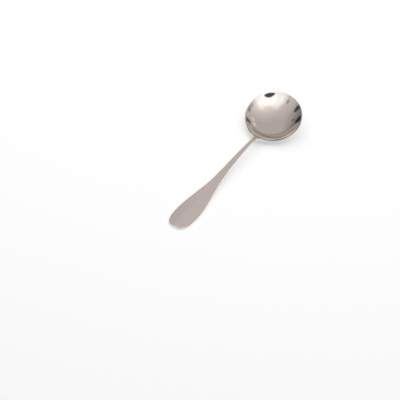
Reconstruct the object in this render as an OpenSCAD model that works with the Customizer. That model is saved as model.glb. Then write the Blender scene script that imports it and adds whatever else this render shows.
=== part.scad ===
// Soup spoon, stamped from one blank of stainless steel: a round deep bowl with straight
// shoulders, a narrow stem that arches out of the bowl, and a long plain paddle to hold.
// Lengths are in millimetres. The spoon lies at rest on the plane z = 0, along X, with the
// bowl's tip at +X, and its origin is under the middle of its length.
// Places along the spoon are told by their distance back from the bowl's widest place,
// towards the handle's end. Distances towards the bowl's tip are negative.

/* [Bowl] */
// Width of the bowl across its rim
bowl_w = 50.5; // [44:0.5:56]
// From the widest place forward to the tip
tip_l = 24; // [20:0.5:28]
// From the widest place back to where the round of the rim would close
back_l = 25; // [22:0.5:28]
// Depth of the hollow below the rim
bowl_depth = 10; // [8:0.5:13]
// Thickness of the metal under the hollow
bowl_t = 1.4; // [1:0.1:2]
// Width of the rim's ground edge, seen from above
rim_w = 0.9; // [0.85:0.05:1.6]
// How far the ground edge slopes down from the brim of the hollow to the outline
bevel_h = 1.1; // [0.2:0.1:1.2]
// Depth of the rim's metal at the outline, from the height of the brim to the underside
rim_t = 1.6; // [1.4:0.1:2.4]
// How far the rim tips up towards the bowl's tip, in degrees
rim_tilt = 19.5; // [16:0.5:26]

/* [Neck and stem] */
// From the bowl's widest place back to where the shoulders leave the round of the rim
shoulder_l = 18; // [15:0.5:20]
// From the bowl's widest place back to where the shoulders end in the stem
neck_l = 33; // [31:0.5:38]
// Width of the stem at the neck
neck_w = 2.9; // [2.6:0.1:5]
// Thickness of the stem at the neck
neck_t = 2.4; // [1.8:0.1:3.5]
// From the bowl's widest place back to where the rim's plane turns up into the stem
dip_l = 23.5; // [22:0.5:26]
// From the bowl's widest place back to the middle of the stem's rise
rise_l = 28; // [27:0.5:32]
// Height of the stem's top at the middle of its rise
rise_h = 7.3; // [6:0.1:9]
// From the bowl's widest place back to the top of the stem's arch
crest_l = 42; // [38:0.5:50]
// Height of the stem's top at the arch
crest_h = 9.2; // [8:0.1:13]
// Thickness of the stem at the arch
stem_t = 2.6; // [2:0.1:3.5]
// Width of the stem where it starts to swell
stem_w = 5.4; // [4:0.1:8]

/* [Paddle] */
// From the bowl's widest place back to where the stem starts to swell
swell_l = 74; // [68:0.5:82]
// From the bowl's widest place back to where the swell ends and the paddle starts
paddle_l = 89.5; // [85:0.5:100]
// Width of the paddle where it starts
paddle_start_w = 7.5; // [6.8:0.1:11]
// From the bowl's widest place back to the paddle's widest place
wide_l = 136; // [130:0.5:144]
// Width of the paddle at its widest place
paddle_w = 19.5; // [15:0.1:22]
// Thickness of the paddle at its edge
paddle_t = 2; // [1.5:0.1:3]
// From the paddle's widest place forward to where its underside touches the table
heel_in = 4.5; // [2:0.5:12]
// From the paddle's widest place back to the handle's end
round_l = 20; // [16:0.5:24]
// Thickness of the handle's end at its edge
end_t = 1.7; // [1.2:0.1:2.4]
// Height of the handle's top at its end
end_h = 1.8; // [1.8:0.1:5]
// How much the handle's top is domed across its width
crown_h = 0.35; // [0:0.05:0.8]

/* [Edges and rests] */
// Radius of the polished edges all round the spoon
edge_r = 0.6; // [0.4:0.05:0.8]
// Depth of the two flats under the bowl and under the paddle, on which the spoon lies
foot_cut = 0.25; // [0.15:0.01:0.4]

/* [Hidden] */

// Form of the hollow: the powers that round its floor and stand up its walls
floor_power = 2.2;
wall_power = 1;
neck_power = 1.5;
// Where the hollow's wall softens towards the neck: the cosine of the angle off the spoon's
// axis, and the share of the way out from the middle, from which it does
soften_share = 0.72;
soften_out_share = 0.68;
// Rise of the stem at the middle of its rise, and of the handle at the heel, per unit length
rise_share = 0.4;
heel_share = 0.02;
// Slope of the paddle's outline where it starts, per unit length
spread_share = 0.06;
// Power of the rounding at the handle's end, where 2 would be an ellipse
end_power = 2.8;
// Where the fans of the mesh end: as a share of back_l, and of the way from wide_l to the end
fan_share = 0.4;
end_share = 0.5;
// Rows across the polished edge, as shares of its radius
edge_shares = [0.1, 0.4, 1];
// Most that the polished and the ground edge take of the half width, as shares of it
edge_max_share = 0.3;
flat_max_share = 0.5;
// Rows from the brim to the middle, and how they crowd towards the brim
inner_rows = 9;
crowd_power = 1.35;
// Stations along the outline of each stretch of the spoon
tip_stations = 18;
side_stations = 5;
shoulder_start_stations = 6;
shoulder_stations = 9;
rise_stations = 8;
stem_stations = 9;
swell_stations = 8;
paddle_stations = 10;
wide_stations = 3;
end_stations = 9;
// Places at which the underside of the bowl is measured for its lowest place
low_samples = 40;

// Places of the heel and of the handle's end behind the bowl's widest place
heel_l = wide_l - heel_in;
handle_l = wide_l + round_l;

bowl_r = bowl_w / 2;
fan_l = fan_share * back_l;
end_l = wide_l + end_share * round_l;
shift_x = (handle_l - tip_l) / 2;
shell_depth = bowl_depth + bowl_t - rim_t;

function mix(a, b, t) = a + (b - a) * t;
function limit(t) = min(max(t, 0), 1);
function ease(t) = let (u = limit(t)) u * u * (3 - 2 * u);

// A curve over a stretch of length l, from value a with slope sa to value b with slope sb
function bend(a, b, sa, sb, l, t) =
    (1 + 2 * t) * (1 - t) * (1 - t) * a + t * t * (3 - 2 * t) * b
    + l * (t * (1 - t) * (1 - t) * sa - t * t * (1 - t) * sb);

// Where p lies on the way from place a to place b
function way(a, b, p) = (p - a) / (b - a);

// The outline: half the spoon's width at a place behind the bowl's widest place
function round_half(p) = bowl_r * sqrt(1 - (p / back_l) * (p / back_l));
shoulder_slope = -bowl_r * bowl_r * shoulder_l / (back_l * back_l * round_half(shoulder_l));
stem_slope = (stem_w - neck_w) / 2 / (swell_l - neck_l);
function end_half(p) =
    paddle_w / 2 * pow(1 - pow(limit(way(wide_l, handle_l, p)), end_power), 1 / end_power);
function half_w(p) =
    p < shoulder_l ? round_half(p)
    : p < neck_l ? bend(round_half(shoulder_l), neck_w / 2, shoulder_slope, stem_slope,
                        neck_l - shoulder_l, way(shoulder_l, neck_l, p))
    : p < swell_l ? mix(neck_w, stem_w, way(neck_l, swell_l, p)) / 2
    : p < paddle_l ? bend(stem_w / 2, paddle_start_w / 2, stem_slope, spread_share,
                          paddle_l - swell_l, way(swell_l, paddle_l, p))
    : p < wide_l ? bend(paddle_start_w / 2, paddle_w / 2, spread_share, 0,
                        wide_l - paddle_l, way(paddle_l, wide_l, p))
    : end_half(p);

// Drop of the rim's ground edge below the brim, at a distance in from the outline
function bevel(p, in) =
    bevel_h * (1 - ease(way(shoulder_l, rise_l, p))) * (1 - limit(in / rim_w));

// Share of the hollow's depth at a place, where the hollow closes at tip and back lengths
// and at half width r. It is 1 in the middle and 0 on and outside its own outline.
function hollow(p, y, tip, back, r) =
    let (q = p < 0 ? p / tip : p / back,
         far = sqrt(q * q + y * y / (r * r)),
         away = sqrt(p * p + y * y),
         back_share = away > 0 ? p / away : 0,
         soft = ease(way(soften_share, 1, back_share)) * ease(way(soften_out_share, 1, far)),
         power = mix(wall_power, neck_power, soft))
    far >= 1 ? 0 : pow(1 - pow(far, floor_power), power);
function inner_hollow(p, y) = hollow(p, y, tip_l - rim_w, back_l - rim_w, bowl_r - rim_w);
function outer_hollow(p, y) = hollow(p, y, tip_l, back_l, bowl_r);

// Thickness of the metal at the spoon's edge
function edge_t(p) =
    p < rise_l ? mix(rim_t, neck_t, ease(way(shoulder_l, rise_l, p)))
    : p < crest_l ? mix(neck_t, stem_t, ease(way(rise_l, crest_l, p)))
    : p < paddle_l ? mix(stem_t, paddle_t, ease(way(crest_l, paddle_l, p)))
    : mix(paddle_t, end_t, ease(way(paddle_l, handle_l, p)));

// Height of the rim over the bowl's widest place, so that the bowl's underside comes down
// to the table and its flat is foot_cut deep
lowest = min([for (i = [0 : low_samples]) for (j = [0 : low_samples / 2])
    let (p = back_l * i / low_samples, y = bowl_r * j / low_samples)
    -p * tan(rim_tilt) - edge_t(p) - shell_depth * outer_hollow(p, y)]);
rim_h = -lowest - foot_cut;
heel_h = edge_t(heel_l) - foot_cut;

// Height of the spoon's top along its edge
function rim_line(p) = rim_h - p * tan(rim_tilt);
function top_edge(p) =
    p < dip_l ? rim_line(p)
    : p < rise_l ? bend(rim_line(dip_l), rise_h, -tan(rim_tilt), rise_share,
                        rise_l - dip_l, way(dip_l, rise_l, p))
    : p < crest_l ? bend(rise_h, crest_h, rise_share, 0,
                         crest_l - rise_l, way(rise_l, crest_l, p))
    : p < heel_l ? bend(crest_h, heel_h, 0, -heel_share,
                        heel_l - crest_l, way(crest_l, heel_l, p))
    : bend(heel_h, end_h, -heel_share, heel_share, handle_l - heel_l,
           way(heel_l, handle_l, p));

// Top and underside of the metal away from the edge, half is the half width there
function crown(p, y, half) =
    crown_h * ease(way(dip_l, crest_l, p)) * (1 - limit(y * y / (half * half)));
function top_z(p, y, half) = top_edge(p) - bowl_depth * inner_hollow(p, y) + crown(p, y, half);
function under_z(p, y) = top_edge(p) - edge_t(p) - shell_depth * outer_hollow(p, y);

// Stations down one side of the spoon, each with its place, its half width and the place on
// the middle line that its rows run to. They fan out round the bowl and round the end.
function steps(a, b, n) = [for (i = [1 : n]) mix(a, b, i / n)];
tip_fan = [for (i = [0 : tip_stations])
    let (a = 90 * i / tip_stations)
    [-tip_l * cos(a), bowl_r * sin(a), 0]];
side_fan = [for (p = steps(0, fan_l, side_stations)) [p, round_half(p), 0]];
run_places = concat(
    steps(fan_l, shoulder_l, shoulder_start_stations),
    steps(shoulder_l, neck_l, shoulder_stations),
    steps(neck_l, crest_l, rise_stations),
    steps(crest_l, swell_l, stem_stations),
    steps(swell_l, paddle_l, swell_stations),
    steps(paddle_l, wide_l, paddle_stations),
    steps(wide_l, end_l, wide_stations));
run = [for (p = run_places)
    [p, half_w(p), p < neck_l ? neck_l * way(fan_l, neck_l, p) : p]];
end_angle = asin(pow(end_share, end_power / 2));
end_fan = [for (a = steps(end_angle, 90, end_stations))
    let (p = mix(wide_l, handle_l, pow(sin(a), 2 / end_power)))
    [p, a < 90 ? end_half(p) : 0, end_l]];
stations = concat(tip_fan, side_fan, run, end_fan);
last = len(stations) - 1;
fan_last = tip_stations + side_stations;
middle_last = len(run);

// Once round the outline: down the +Y side from the tip to the end, and back up the other
round_count = 2 * last;
function station_of(q) = q <= last ? q : round_count - q;
function side_of(q) = q <= last ? 1 : -1;
function middle_of(q) = min(max(station_of(q) - fan_last, 0), middle_last);

// Rows inwards from the outline: across the polished edge, the rim's ground edge and the inside
edge_rows = len(edge_shares);
rows = edge_rows + inner_rows;
function row_in(k, reach) =
    let (edge = min(edge_r, edge_max_share * reach),
         flat = min(rim_w, flat_max_share * reach))
    k == 0 ? 0
    : k <= edge_rows ? edge * edge_shares[k - 1]
    : mix(flat, reach, pow((k - edge_rows - 1) / inner_rows, crowd_power));

// How far the two skins have parted, from 0 on the outline to 1 at the edge's full radius
function parted(k, reach) =
    let (edge = min(edge_r, edge_max_share * reach),
         in = limit(row_in(k, reach) / edge))
    sqrt(1 - (1 - in) * (1 - in));

function place(s, side, k) =
    let (reach = norm([s[0] - s[2], s[1]]),
         t = row_in(k, reach) / reach)
    [mix(s[0], s[2], t), side * mix(s[1], 0, t)];
function skin_point(q, k, up) =
    let (s = stations[station_of(q)],
         at = place(s, side_of(q), k),
         reach = norm([s[0] - s[2], s[1]]),
         half = max(s[1], abs(at[1]), edge_r),
         top = top_z(at[0], at[1], half) - bevel(at[0], row_in(k, reach)),
         under = under_z(at[0], at[1]),
         middle = (top + under) / 2,
         z = middle + (up ? top - middle : under - middle) * parted(k, reach))
    [shift_x - at[0], at[1], max(z, 0)];
function middle_point(m, up) =
    let (s = stations[fan_last + m],
         p = s[2],
         z = up ? top_z(p, 0, edge_r) : under_z(p, 0))
    [shift_x - p, 0, max(z, 0)];

points = concat(
    [for (q = [0 : round_count - 1]) skin_point(q, 0, true)],
    [for (k = [1 : rows]) for (q = [0 : round_count - 1]) skin_point(q, k, true)],
    [for (k = [1 : rows]) for (q = [0 : round_count - 1]) skin_point(q, k, false)],
    [for (m = [0 : middle_last]) middle_point(m, true)],
    [for (m = [0 : middle_last]) middle_point(m, false)]);

// Numbers of the points of a row and of the middle line, on the top or on the underside
function row_point(q, k, up) =
    (q % round_count) + (k == 0 ? 0 : (up ? k : k + rows) * round_count);
function middle_number(q, up) =
    (2 * rows + 1) * round_count + (up ? 0 : middle_last + 1) + middle_of(q % round_count);

// Triangles of one skin, seen clockwise from outside
function turned(f, up) = up ? f : [f[0], f[2], f[1]];
function skin_faces(up) = concat(
    [for (k = [0 : rows - 1]) for (q = [0 : round_count - 1]) for (half = [0, 1])
        let (a = row_point(q, k, up), b = row_point(q, k + 1, up),
             c = row_point(q + 1, k + 1, up), d = row_point(q + 1, k, up))
        turned(half == 0 ? [a, b, c] : [a, c, d], up)],
    [for (q = [0 : round_count - 1])
        turned([row_point(q, rows, up), middle_number(q, up), row_point(q + 1, rows, up)], up)],
    [for (q = [0 : round_count - 1]) if (middle_number(q, up) != middle_number(q + 1, up))
        turned([middle_number(q, up), middle_number(q + 1, up), row_point(q + 1, rows, up)],
               up)]);

module spoon() {
    color([0.69, 0.66, 0.63])
        polyhedron(points = points, faces = concat(skin_faces(true), skin_faces(false)));
}

spoon();
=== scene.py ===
# %% [markdown]
# A round soup spoon
#
# A plain soup spoon is one piece of stainless steel. A flat blank is cut out, rolled thinner
# towards its ends, and pressed between two dies that sink the bowl and arch the stem. Its
# edges are then rounded, the bowl is polished like a mirror and the handle more softly.
# This lesson makes it in that order: blank, rows of squares, two dies, closed edge, polish.
# The imported model is loaded first. It fixes the frame.

# %% Load the fixed frame
import math
import bmesh
import bpy
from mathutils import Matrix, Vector


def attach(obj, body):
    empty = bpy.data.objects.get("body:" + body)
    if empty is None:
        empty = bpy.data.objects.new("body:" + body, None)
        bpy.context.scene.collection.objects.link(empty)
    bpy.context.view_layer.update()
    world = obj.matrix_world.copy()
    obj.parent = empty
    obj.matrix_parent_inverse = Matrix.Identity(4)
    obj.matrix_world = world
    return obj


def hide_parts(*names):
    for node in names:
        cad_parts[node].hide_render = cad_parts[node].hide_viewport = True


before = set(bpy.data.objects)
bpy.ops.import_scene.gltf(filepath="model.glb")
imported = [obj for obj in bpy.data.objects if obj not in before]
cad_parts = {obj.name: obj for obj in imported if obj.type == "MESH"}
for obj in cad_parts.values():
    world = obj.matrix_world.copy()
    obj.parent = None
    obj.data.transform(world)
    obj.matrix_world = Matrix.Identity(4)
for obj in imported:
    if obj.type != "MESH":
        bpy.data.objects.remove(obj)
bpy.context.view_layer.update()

# %% [markdown]
# The camera comes first, so that every look at the work is a look from the right place. The
# place and the turn were worked out by laying the spoon's outline over the photograph. The
# lens is long, so the spoon hardly narrows with distance.

# %% Place the camera
CAMERA_PLACE = (-0.61442, -0.30334, 0.62508)
CAMERA_TURN = [math.radians(a) for a in (45.501, -4.625, -57.147)]
LENS, SENSOR, NEAREST = 98.58, 36, 0.01
bpy.ops.object.select_all(action="DESELECT")
bpy.ops.object.camera_add(location=CAMERA_PLACE, rotation=CAMERA_TURN)
camera = bpy.context.object
camera.name = "camera"
camera.data.lens = LENS
camera.data.sensor_width = SENSOR
camera.data.clip_start = NEAREST
bpy.context.scene.camera = camera
bpy.context.scene.view_settings.view_transform = "Standard"
print("camera", round(camera.location.length, 3), "m from the spoon, lens", camera.data.lens)

# %% [markdown]
# Next come the sizes. We tell every place on the spoon by how far it lies behind the bowl's
# widest place, so places towards the bowl's tip are negative. All lengths are in metres.

# %% Sizes of the spoon
MM = 0.001
BOWL_WIDTH, TIP, BACK, BOWL_DEPTH, BOWL_METAL = [v * MM for v in (50.5, 24, 25, 10, 1.4)]
RIM_WIDTH, RIM_METAL, BEVEL = 0.9 * MM, 1.6 * MM, 1.1 * MM
RIM_TILT = math.tan(math.radians(19.5))
SHOULDER, NECK, NECK_WIDTH, NECK_METAL = [v * MM for v in (18, 33, 2.9, 2.4)]
DIP, RISE, RISE_HEIGHT = 23.5 * MM, 28 * MM, 7.3 * MM
CREST, CREST_HEIGHT, STEM_METAL, STEM_WIDTH = [v * MM for v in (42, 9.2, 2.6, 5.4)]
SWELL, PADDLE, PADDLE_START = 74 * MM, 89.5 * MM, 7.5 * MM
WIDEST, PADDLE_WIDTH, PADDLE_METAL, HEEL = [v * MM for v in (136, 19.5, 2, 131.5)]
END, END_METAL, END_HEIGHT, CROWN = [v * MM for v in (156, 1.7, 1.8, 0.35)]
EDGE, SETTLE = 0.6 * MM, 0.25 * MM
BRIM_ROUNDING, FOOT_ROUNDING = 0.25 * MM, 0.12 * MM
MIDDLE = (END - TIP) / 2
print("length", round((END + TIP) / MM, 1), "mm, width", round(BOWL_WIDTH / MM, 1), "mm")

# %% [markdown]
# Four small helpers draw all the curves. One blends two values, one says how far along a
# stretch we are, one eases in and out, and one bends from one slope to another.

# %% Helpers for smooth curves
def blend(a, b, t):
    return a + (b - a) * t


def way(a, b, p):
    return (p - a) / (b - a)


def ease(t):
    t = min(max(t, 0.0), 1.0)
    return t * t * (3 - 2 * t)


def bend(a, b, slope_a, slope_b, length, t):
    return ((1 + 2 * t) * (1 - t) ** 2 * a + t * t * (3 - 2 * t) * b
            + length * (t * (1 - t) ** 2 * slope_a - t * t * (1 - t) * slope_b))


# %% [markdown]
# The outline of the blank is an oval for the bowl, two shoulders that run down to the neck,
# a stem with almost straight sides, a short swell, and a long paddle with a round end.

# %% Half the width of the blank
HALF_BOWL = BOWL_WIDTH / 2


def oval_half(p, reach):
    return HALF_BOWL * math.sqrt(max(1 - (p / reach) ** 2, 0))


shoulder_half = oval_half(SHOULDER, BACK)
shoulder_slope = -HALF_BOWL ** 2 * SHOULDER / (BACK ** 2 * shoulder_half)
stem_slope = (STEM_WIDTH - NECK_WIDTH) / 2 / (SWELL - NECK)
SPREADING, END_POWER = 0.06, 2.8


def half_width(p):
    if p < SHOULDER:
        return oval_half(p, TIP if p < 0 else BACK)
    if p < NECK:
        return bend(shoulder_half, NECK_WIDTH / 2, shoulder_slope, stem_slope,
                    NECK - SHOULDER, way(SHOULDER, NECK, p))
    if p < SWELL:
        return blend(NECK_WIDTH, STEM_WIDTH, way(NECK, SWELL, p)) / 2
    if p < PADDLE:
        return bend(STEM_WIDTH / 2, PADDLE_START / 2, stem_slope, SPREADING,
                    PADDLE - SWELL, way(SWELL, PADDLE, p))
    if p < WIDEST:
        return bend(PADDLE_START / 2, PADDLE_WIDTH / 2, SPREADING, 0,
                    WIDEST - PADDLE, way(PADDLE, WIDEST, p))
    t = min(way(WIDEST, END, p), 1)
    return PADDLE_WIDTH / 2 * (1 - t ** END_POWER) ** (1 / END_POWER)


for p in (0, SHOULDER, NECK, SWELL, PADDLE, WIDEST):
    print("at", round(p / MM, 1), "mm the blank is", round(2 * half_width(p) / MM, 1), "mm wide")

# %% [markdown]
# The side view gives the height of the edge: the rim slopes down to the neck, the stem
# arches out of the bowl, and the handle sinks to the table. The metal is thin at the rim,
# thickest in the neck and stem, where a spoon bends in use, and thin again at the end.

# %% Thickness and hollow of the bowl
FLOOR_POWER, WALL_POWER, NECK_POWER = 2.2, 1.0, 1.5
SOFTEN_BACK_SHARE, SOFTEN_FAR_SHARE = 0.72, 0.68


def edge_metal(p):
    if p < RISE:
        return blend(RIM_METAL, NECK_METAL, ease(way(SHOULDER, RISE, p)))
    if p < CREST:
        return blend(NECK_METAL, STEM_METAL, ease(way(RISE, CREST, p)))
    if p < PADDLE:
        return blend(STEM_METAL, PADDLE_METAL, ease(way(CREST, PADDLE, p)))
    return blend(PADDLE_METAL, END_METAL, ease(way(PADDLE, END, p)))


def bevel(p):
    return BEVEL * (1 - ease(way(SHOULDER, RISE, p)))


def hollow(p, y, tip, back, half):
    far = math.hypot(p / (tip if p < 0 else back), y / half)
    if far >= 1:
        return 0.0
    backwards = p / max(math.hypot(p, y), 1e-9)
    soft = ease(way(SOFTEN_BACK_SHARE, 1, backwards)) * ease(way(SOFTEN_FAR_SHARE, 1, far))
    return (1 - far ** FLOOR_POWER) ** blend(WALL_POWER, NECK_POWER, soft)


def sunk(p, y):
    deep = BOWL_DEPTH * hollow(p, y, TIP - RIM_WIDTH, BACK - RIM_WIDTH, HALF_BOWL - RIM_WIDTH)
    full = math.hypot(BOWL_DEPTH, BRIM_ROUNDING) - BRIM_ROUNDING
    return (math.hypot(deep, BRIM_ROUNDING) - BRIM_ROUNDING) * BOWL_DEPTH / full


def bulge(p, y):
    return (BOWL_DEPTH + BOWL_METAL - RIM_METAL) * hollow(p, y, TIP, BACK, HALF_BOWL)


# %% Height of the spoon's edge
RISE_SLOPE, HEEL_SLOPE, LOOKS = 0.4, 0.02, 40
rim_height = max(p * RIM_TILT + edge_metal(p) + bulge(p, 0)
                 for p in [BACK * i / LOOKS for i in range(LOOKS + 1)]) - SETTLE
heel_height = edge_metal(HEEL) - SETTLE


def edge_height(p):
    if p < DIP:
        return rim_height - p * RIM_TILT
    if p < RISE:
        return bend(rim_height - DIP * RIM_TILT, RISE_HEIGHT, -RIM_TILT, RISE_SLOPE,
                    RISE - DIP, way(DIP, RISE, p))
    if p < CREST:
        return bend(RISE_HEIGHT, CREST_HEIGHT, RISE_SLOPE, 0, CREST - RISE,
                    way(RISE, CREST, p))
    if p < HEEL:
        return bend(CREST_HEIGHT, heel_height, 0, -HEEL_SLOPE, HEEL - CREST,
                    way(CREST, HEEL, p))
    return bend(heel_height, END_HEIGHT, -HEEL_SLOPE, HEEL_SLOPE, END - HEEL,
                way(HEEL, END, p))


def top_height(p, y):
    half = max(half_width(p), EDGE)
    crown = CROWN * ease(way(DIP, CREST, p)) * max(1 - (y / half) ** 2, 0)
    return edge_height(p) - sunk(p, y) + crown


def under_height(p, y):
    low = edge_height(p) - edge_metal(p) - bulge(p, y)
    return (low + math.hypot(low, FOOT_ROUNDING)) / 2


print("rim", round(rim_height / MM, 2), "mm up at the bowl's widest place, floor",
      round(top_height(0, 0) / MM, 2), "mm")

# %% [markdown]
# Now the blank. A circle of points is a good start for any closed outline. We walk round
# the spoon in even steps and put each point of the circle on the outline. Beside each one
# we note the place on the middle line that it will later run in to: the bowl's points run
# to the bowl's middle like a fan, and the handle's points run straight across.

# %% Walk along one side of the outline
def steps(a, b, count):
    return [blend(a, b, i / count) for i in range(1, count + 1)]


FAN = 0.4 * BACK
END_FAN = WIDEST + 0.5 * (END - WIDEST)
TIP_STEPS, FAN_STEPS, END_STEPS = 64, 16, 26
side = [(-TIP * math.cos(a), HALF_BOWL * math.sin(a), 0.0)
        for a in [math.pi / 2 * i / TIP_STEPS for i in range(TIP_STEPS + 1)]]
side += [(p, half_width(p), 0.0) for p in steps(0, FAN, FAN_STEPS)]
for start, stop, count in ((FAN, SHOULDER, 18), (SHOULDER, NECK, 30), (NECK, CREST, 20),
                           (CREST, SWELL, 26), (SWELL, PADDLE, 20), (PADDLE, WIDEST, 44),
                           (WIDEST, END_FAN, 9)):
    for p in steps(start, stop, count):
        middle = NECK * way(FAN, NECK, p) if p < NECK else p
        side.append((p, half_width(p), middle))
first = math.asin(0.5 ** (END_POWER / 2))
for a in steps(first, math.pi / 2, END_STEPS):
    p = blend(WIDEST, END, math.sin(a) ** (2 / END_POWER))
    side.append((p, half_width(p) if a < math.pi / 2 - 1e-6 else 0.0, END_FAN))
around = [(p, y, m) for p, y, m in side] + [(p, -y, m) for p, y, m in side[-2:0:-1]]
print(len(around), "points go round the blank")

# %% Add the circle and put its points on the outline
bpy.ops.object.select_all(action="DESELECT")
bpy.ops.mesh.primitive_circle_add(vertices=len(around), radius=HALF_BOWL, fill_type="NOTHING")
spoon = bpy.context.object
spoon.name = "polished_spoon"
bpy.ops.object.mode_set(mode="EDIT")
mesh = bmesh.from_edit_mesh(spoon.data)
number = mesh.verts.layers.int.new("outline_number")
opened = mesh.verts.layers.float.new("opened")
ground = mesh.verts.layers.float.new("ground")
mesh.verts.ensure_lookup_table()
for i, v in enumerate(mesh.verts):
    v[number] = i
    v[ground] = 1.0
    v.co = Vector((MIDDLE - around[i][0], around[i][1], 0))
bmesh.update_edit_mesh(spoon.data)
print("the blank's outline has", len(mesh.edges), "edges")

# %% [markdown]
# The sheet is filled by extruding that outline inwards, row after row, until all rows meet
# on the middle line. The first rows lie close together: they will turn over the rounded
# edge, and "opened" keeps how far the upper and lower skins have parted there. A blank is
# cut square, so the rim's edge leans outwards once the bowl is sunk, and "ground" keeps how
# far down that slope a point lies. Then come rows that start tight at the brim, where the
# bowl's wall is steepest, and grow wider towards the middle. Every new point copies its
# number from the point it came from, so we always know which ray it lies on.

# %% Extrude the rows inwards
EDGE_ROWS, INNER_ROWS, INNER_POWER, CLOSE = 8, 34, 1.9, 1e-7


def row_place(p, y, middle, row):
    reach = math.hypot(p - middle, y)
    edge, flat = min(EDGE, 0.3 * reach), min(RIM_WIDTH, 0.5 * reach)
    if row <= EDGE_ROWS:
        inwards = edge * (1 - math.cos(math.pi / 2 * row / EDGE_ROWS))
    else:
        inwards = blend(flat, reach, ((row - EDGE_ROWS - 1) / INNER_ROWS) ** INNER_POWER)
    into = min(inwards / edge, 1)
    share = inwards / reach
    return (MIDDLE - blend(p, middle, share), blend(y, 0, share),
            math.sqrt(1 - (1 - into) ** 2), max(1 - inwards / RIM_WIDTH, 0))


bpy.ops.mesh.select_all(action="SELECT")
for row in range(1, EDGE_ROWS + INNER_ROWS + 2):
    bpy.ops.mesh.extrude_edges_indiv()
    mesh = bmesh.from_edit_mesh(spoon.data)
    number = mesh.verts.layers.int["outline_number"]
    opened = mesh.verts.layers.float["opened"]
    ground = mesh.verts.layers.float["ground"]
    for v in mesh.verts:
        if v.select:
            x, y, v[opened], v[ground] = row_place(*around[v[number]], row)
            v.co = Vector((x, y, 0))
    bmesh.update_edit_mesh(spoon.data)
bpy.ops.mesh.select_all(action="SELECT")
bpy.ops.mesh.remove_doubles(threshold=CLOSE)
bpy.ops.object.mode_set(mode="OBJECT")
print(len(spoon.data.polygons), "faces fill the flat blank")

# %% [markdown]
# A press has two dies. The upper one sinks the inside of the bowl, and the lower one gives
# the underside its own, slightly larger shape, which is how the metal gets its thickness.
# So the flat sheet is copied, and each copy is pressed by a Displace modifier. A vertex
# group holds the die: its weight at each point is the height there, as a share of the
# spoon's full height. At the very edge both skins take the height half way between.

# %% Face the sheet upwards and copy it for the underside
if spoon.data.polygons[0].normal.z < 0:
    bpy.ops.object.mode_set(mode="EDIT")
    bpy.ops.mesh.select_all(action="SELECT")
    bpy.ops.mesh.flip_normals()
    bpy.ops.object.mode_set(mode="OBJECT")
bpy.ops.object.duplicate()
underside = bpy.context.object
bpy.ops.object.mode_set(mode="EDIT")
bpy.ops.mesh.select_all(action="SELECT")
bpy.ops.mesh.flip_normals()
bpy.ops.object.mode_set(mode="OBJECT")
print("upper sheet faces", round(spoon.data.polygons[0].normal.z), "and lower sheet faces",
      round(underside.data.polygons[0].normal.z))

# %% Press the two sheets
FULL_HEIGHT = 1.05 * edge_height(-TIP)


def press(sheet, upper):
    parted, ground = [[item.value for item in sheet.data.attributes[name].data]
                      for name in ("opened", "ground")]
    die = sheet.vertex_groups.new(name="die")
    for v in sheet.data.vertices:
        p, y = MIDDLE - v.co.x, v.co.y
        top = top_height(p, y) - bevel(p) * ground[v.index]
        low = under_height(p, y)
        half_way = (top + low) / 2
        height = blend(half_way, top if upper else low, parted[v.index])
        die.add([v.index], height / FULL_HEIGHT, "REPLACE")
    bpy.context.view_layer.objects.active = sheet
    stroke = sheet.modifiers.new("press", "DISPLACE")
    stroke.direction, stroke.mid_level = "Z", 0
    stroke.strength, stroke.vertex_group = FULL_HEIGHT, "die"
    bpy.ops.object.modifier_apply(modifier="press")
    print("pressed", "upper" if upper else "lower", "skin, lowest place",
          round(min(v.co.z for v in sheet.data.vertices) / MM, 3), "mm")


press(spoon, True)
press(underside, False)

# %% [markdown]
# The two skins meet point for point along the outline, so joining them and merging their
# doubles closes the spoon. A closed skin has no open edge left, which we count.

# %% Close the skins into one solid
bpy.ops.object.select_all(action="DESELECT")
underside.select_set(True)
spoon.select_set(True)
bpy.context.view_layer.objects.active = spoon
bpy.ops.object.join()
bpy.ops.object.mode_set(mode="EDIT")
bpy.ops.mesh.select_all(action="SELECT")
bpy.ops.mesh.remove_doubles(threshold=10 * CLOSE)
bpy.ops.mesh.normals_make_consistent(inside=False)
bpy.ops.mesh.select_all(action="DESELECT")
bpy.ops.mesh.select_non_manifold()
open_edges = sum(e.select for e in bmesh.from_edit_mesh(spoon.data).edges)
bpy.ops.object.mode_set(mode="OBJECT")
bpy.ops.object.shade_smooth()
print("open edges:", open_edges, "triangles:", sum(len(f.vertices) - 2
                                                   for f in spoon.data.polygons))

# %% [markdown]
# Finish: stainless steel, polished. Steel is slightly warm and reflects about seven tenths
# of the light. The bowl is buffed like a mirror, while the handle keeps a softer, lengthwise
# finish from the belt that ground it, with faint streaks. The handle's colour is painted a
# little paler than the bowl's, a painted sheen, as it is the same steel. Use adds hair-fine
# scratches and a few faint scuffs. All of it reads the object's own coordinates, so the
# pattern stays on the metal.

# %% Start the steel
steel = bpy.data.materials.new("polished_steel")
steel.use_nodes = True
nodes, links = steel.node_tree.nodes, steel.node_tree.links
shader = nodes["Principled BSDF"]
shader.inputs["Metallic"].default_value = 1.0
place = nodes.new("ShaderNodeTexCoord").outputs["Object"]


def noise(scale, detail, stretch=(1, 1, 1), turn=0.0):
    mapping = nodes.new("ShaderNodeMapping")
    mapping.inputs["Scale"].default_value = stretch
    mapping.inputs["Rotation"].default_value = (0, 0, turn)
    links.new(place, mapping.inputs["Vector"])
    texture = nodes.new("ShaderNodeTexNoise")
    texture.inputs["Scale"].default_value = scale
    texture.inputs["Detail"].default_value = detail
    links.new(mapping.outputs["Vector"], texture.inputs["Vector"])
    return texture.outputs["Fac"]


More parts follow.
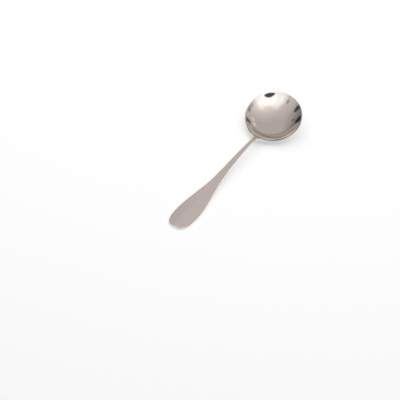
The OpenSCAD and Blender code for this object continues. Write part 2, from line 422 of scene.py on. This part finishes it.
def spread(value, low, high, out_low=0.0, out_high=1.0):
    node = nodes.new("ShaderNodeMapRange")
    for name, number in (("From Min", low), ("From Max", high),
                         ("To Min", out_low), ("To Max", out_high)):
        node.inputs[name].default_value = number
    links.new(value, node.inputs["Value"])
    return node.outputs["Result"]


def sums(operation, *values):
    node = nodes.new("ShaderNodeMath")
    node.operation = operation
    for socket, value in zip(node.inputs, values):
        if isinstance(value, (int, float)):
            socket.default_value = value
        else:
            links.new(value, socket)
    return node.outputs["Value"]


print("steel started with", len(nodes), "nodes")

# %% Where the mirror polish gives way to the satin of the handle
MIRROR_END, SATIN_START = MIDDLE - 24 * MM, MIDDLE - 32 * MM
split = nodes.new("ShaderNodeSeparateXYZ")
links.new(place, split.inputs["Vector"])
satin = spread(split.outputs["X"], MIRROR_END, SATIN_START)
print("the mirror ends between", round(MIRROR_END / MM, 1), "and",
      round(SATIN_START / MM, 1), "mm along X")

# %% Scratches, scuffs and stains
belt_lines = noise(900, 3, stretch=(0.03, 1, 1))
tone_bands = noise(130, 2, stretch=(0.05, 1, 1))
clouds = noise(60, 4)
hairs_a = spread(noise(420, 2, stretch=(0.06, 1, 1), turn=0.5), 0.66, 0.72)
hairs_b = spread(noise(380, 2, stretch=(0.06, 1, 1), turn=-0.9), 0.67, 0.73)
hairs = sums("MAXIMUM", hairs_a, hairs_b)
scuffs = sums("MULTIPLY", spread(clouds, 0.58, 0.7), hairs)

# %% Roughness: mirror in the bowl, satin on the handle
mirror_rough = sums("ADD", spread(clouds, 0.3, 0.7, 0.035, 0.06), sums("MULTIPLY", hairs, 0.03))
satin_rough = sums("ADD", spread(tone_bands, 0.3, 0.7, 0.17, 0.23),
                   sums("MULTIPLY", belt_lines, 0.05))
mix_rough = nodes.new("ShaderNodeMix")
links.new(satin, mix_rough.inputs["Factor"])
links.new(mirror_rough, mix_rough.inputs["A"])
links.new(satin_rough, mix_rough.inputs["B"])
links.new(mix_rough.outputs["Result"], shader.inputs["Roughness"])

# %% Colour: warm steel with faint clouds, dulled scuffs and painted sheen on the handle
# The last number makes the handle's colour paler than the bowl's: a painted sheen, since it is
# the same steel.
CLEAN_STEEL, DULL_STEEL, PAINTED_SHEEN = (0.75, 0.71, 0.675, 1), (0.715, 0.675, 0.64, 1), 1.13
tone = nodes.new("ShaderNodeMix")
tone.data_type = "RGBA"
tone.inputs["A"].default_value = CLEAN_STEEL
tone.inputs["B"].default_value = DULL_STEEL
dull = sums("ADD", spread(clouds, 0.35, 0.65, 0, 0.6), sums("MULTIPLY", scuffs, 0.6))
streaks = sums("MULTIPLY", spread(noise(70, 2, stretch=(0.15, 1, 1)), 0.4, 0.6, -0.9, 0.9),
               satin)
links.new(sums("ADD", dull, streaks), tone.inputs["Factor"])
tone.clamp_factor = False
# Scale the colour up along the handle: this is the painted sheen.
painted_sheen = nodes.new("ShaderNodeVectorMath")
painted_sheen.operation = "SCALE"
links.new(tone.outputs["Result"], painted_sheen.inputs[0])
links.new(spread(satin, 0, 1, 1, PAINTED_SHEEN), painted_sheen.inputs["Scale"])
links.new(painted_sheen.outputs["Vector"], shader.inputs["Base Color"])

# %% Relief: belt lines on the handle and hair scratches everywhere
lines = sums("MULTIPLY", belt_lines, satin)
relief = sums("SUBTRACT", sums("MULTIPLY", lines, 0.6), sums("MULTIPLY", hairs, 0.25))
bump = nodes.new("ShaderNodeBump")
bump.inputs["Strength"].default_value = 0.25
bump.inputs["Distance"].default_value = 0.00002
links.new(relief, bump.inputs["Height"])
links.new(bump.outputs["Normal"], shader.inputs["Normal"])
spoon.data.materials.clear()
spoon.data.materials.append(steel)
print("steel has", len(nodes), "nodes")

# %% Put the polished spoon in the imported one's place
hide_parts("spoon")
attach(spoon, "root")
print("the polished spoon stands in for the packed one")

# %% [markdown]
# The table is a plain white sheet. Its paint is a little under white, so that the spoon's
# shadow shows on it. It glows faintly to the camera and in reflections, which brings the
# rest of it up to the white of a studio sweep.

# %% Lay the white table
TABLE_SIZE, TABLE_WHITE, TABLE_GLOW = 6, 0.8, 0.32
bpy.ops.object.select_all(action="DESELECT")
bpy.ops.mesh.primitive_plane_add(size=TABLE_SIZE)
table = bpy.context.object
table.name = "table"
sheet = bpy.data.materials.new("white_table")
sheet.use_nodes = True
nodes, links = sheet.node_tree.nodes, sheet.node_tree.links
paint = nodes["Principled BSDF"]
paint.inputs["Base Color"].default_value = (TABLE_WHITE, TABLE_WHITE, TABLE_WHITE, 1)
paint.inputs["Roughness"].default_value = 0.9
paint.inputs["Specular IOR Level"].default_value = 0.0
paint.inputs["Emission Color"].default_value = (1, 1, 1, 1)
ray = nodes.new("ShaderNodeLightPath")
seen = sums("MAXIMUM", ray.outputs["Is Camera Ray"], ray.outputs["Is Glossy Ray"])
links.new(sums("MULTIPLY", seen, TABLE_GLOW), paint.inputs["Emission Strength"])
table.data.materials.append(sheet)
print("table laid,", TABLE_SIZE, "m square")

# %% [markdown]
# Polished metal shows what stands round it, so the room matters as much as the steel. Here
# a soft light stands above the camera, the ceiling fades from it into a warm grey, and the
# walls near the table are darker. A few dark things stand in front of the walls, the
# camera among them, and give the bowl its dark accents. The room is painted in the world
# by direction, and only reflections see it. The camera sees plain white, and the table is
# lit by a plain pale sky. The lamp, which hangs above the spoon, draws the soft shadow.
# Headings are told in degrees from the camera's, counting to the left, and heights from
# the table. A patch whose darkness is below zero is a light.

# %% Paint the room that the steel reflects
world = bpy.data.worlds.new("studio")
bpy.context.scene.world = world
world.use_nodes = True
nodes, links = world.node_tree.nodes, world.node_tree.links
nodes.clear()
FRONT = math.radians(-151.68)
TOWARDS_CAMERA, TO_THE_LEFT, BRIGHTEST = 0.97, 0.24, 2
where = nodes.new("ShaderNodeTexCoord").outputs["Generated"]
turned = nodes.new("ShaderNodeMapping")
turned.inputs["Rotation"].default_value = (0, 0, -FRONT)
links.new(where, turned.inputs["Vector"])
parts = nodes.new("ShaderNodeSeparateXYZ")
links.new(turned.outputs["Vector"], parts.inputs["Vector"])
leaning = sums("MULTIPLY_ADD", parts.outputs["X"], TOWARDS_CAMERA,
               sums("MULTIPLY", parts.outputs["Y"], TO_THE_LEFT))
ramp = nodes.new("ShaderNodeValToRGB")
STOPS = ((-1, 0.58), (-0.4, 0.56), (-0.25, 0.57), (-0.13, 0.60), (0, 0.64), (0.13, 0.70),
         (0.27, 0.80), (0.4, 0.92), (0.5, 0.96), (0.6, 0.96), (0.7, 0.9), (0.85, 0.75),
         (1, 0.6))
while len(ramp.color_ramp.elements) < len(STOPS):
    ramp.color_ramp.elements.new(0.5)
for stop, (towards, light) in zip(ramp.color_ramp.elements, STOPS):
    stop.position = (towards + 1) / 2
    stop.color = (light / BRIGHTEST, light / BRIGHTEST, light / BRIGHTEST, 1)
links.new(sums("MULTIPLY_ADD", leaning, 0.5, 0.5), ramp.inputs["Fac"])
print("the ceiling has", len(STOPS), "stops of light")

# %% A soft patch in one direction of the room
def darkened(light, heading, height, size, soft, dark):
    a, e = math.radians(heading), math.radians(height)
    dot = nodes.new("ShaderNodeVectorMath")
    dot.operation = "DOT_PRODUCT"
    dot.inputs[1].default_value = (math.cos(e) * math.cos(a), math.cos(e) * math.sin(a),
                                   math.sin(e))
    links.new(turned.outputs["Vector"], dot.inputs[0])
    patch = spread(dot.outputs["Value"], math.cos(math.radians(size + soft)),
                   math.cos(math.radians(size)))
    return sums("MULTIPLY", light, sums("SUBTRACT", 1.0, sums("MULTIPLY", patch, dark)))


print("a patch has a heading, a height, a size, a soft edge and a darkness")

# %% Darken the walls near the table and set the dark and light things in the room
WALL_LIGHT, WALL_TOP, CEILING_FOOT = 0.32, 0.27, 0.47
CAMERA_SHADE = (6, 14, 31.5, 2, 0.94)
MAIN_LIGHT = ((4, 44, 6, 14, -0.65), (36, 49, 2, 16, -0.45), (-29, 48, 2, 16, -0.4))
LEFT_THINGS = ((88, 22, 15, 4, 0.35), (76, 35, 6, 4, 0.4), (94, 32, 6, 4, 0.3),
               (130, 21, 6, 4, 0.75), (119, 43, 4, 3, -0.35), (137, 39, 4, 3, -0.5))
RIGHT_THINGS = ((-48, 40, 5, 4, -0.15), (-61, 37, 1.5, 3, 0.45), (-96, 25, 4, 2, 0.8),
                (-120, 26, 1.5, 2, 0.7), (-126, 12, 6, 2, 0.85), (-115, 7, 20, 20, 0.3))
walls = spread(parts.outputs["Z"], WALL_TOP, CEILING_FOOT)
room = darkened(sums("MULTIPLY", ramp.outputs["Color"], BRIGHTEST), *CAMERA_SHADE)
room = sums("MULTIPLY_ADD", sums("SUBTRACT", room, WALL_LIGHT), walls, WALL_LIGHT)
for thing in MAIN_LIGHT + LEFT_THINGS + RIGHT_THINGS:
    room = darkened(room, *thing)
print("the room has", len(nodes), "nodes")

# %% Give the camera, the reflections and the table their own sky
WARM, WHITE, PALE_SKY = (1.0, 0.925, 0.89, 1), (1, 1, 1, 1), (0.3, 0.3, 0.3, 1)
GLARE_STARTS, GLARE_IS_WHITE = 0.9, 1.5


def mixed(factor, a, b, way_to_mix="MIX"):
    node = nodes.new("ShaderNodeMix")
    node.data_type, node.blend_type = "RGBA", way_to_mix
    for name, value in (("Factor", factor), ("A", a), ("B", b)):
        if isinstance(value, (int, tuple)):
            node.inputs[name].default_value = value
        else:
            links.new(value, node.inputs[name])
    return node.outputs["Result"]


seen = nodes.new("ShaderNodeLightPath")
glare = spread(room, GLARE_STARTS, GLARE_IS_WHITE)
tinted = mixed(1, mixed(glare, WARM, WHITE), room, "MULTIPLY")
sky = mixed(seen.outputs["Is Glossy Ray"], PALE_SKY, tinted)
view = mixed(seen.outputs["Is Camera Ray"], sky, WHITE)
back = nodes.new("ShaderNodeBackground")
links.new(view, back.inputs["Color"])
out = nodes.new("ShaderNodeOutputWorld")
links.new(back.outputs["Background"], out.inputs["Surface"])
print("world ready")

# %% Hang the soft lamp above the spoon
LAMP_PLACE, LAMP_SIZE, LAMP_POWER = (0.2, 0.1, 0.75), 1.6, 8.2
bpy.ops.object.select_all(action="DESELECT")
bpy.ops.object.light_add(type="AREA", location=LAMP_PLACE)
lamp = bpy.context.object
lamp.name = "soft_lamp"
lamp.data.size = LAMP_SIZE
lamp.data.energy = LAMP_POWER
lamp.rotation_euler = (Vector((0, 0, 0)) - lamp.location).to_track_quat("-Z", "Y").to_euler()
lamp.visible_glossy = False
print("lamp", round(lamp.location.length, 2), "m away")
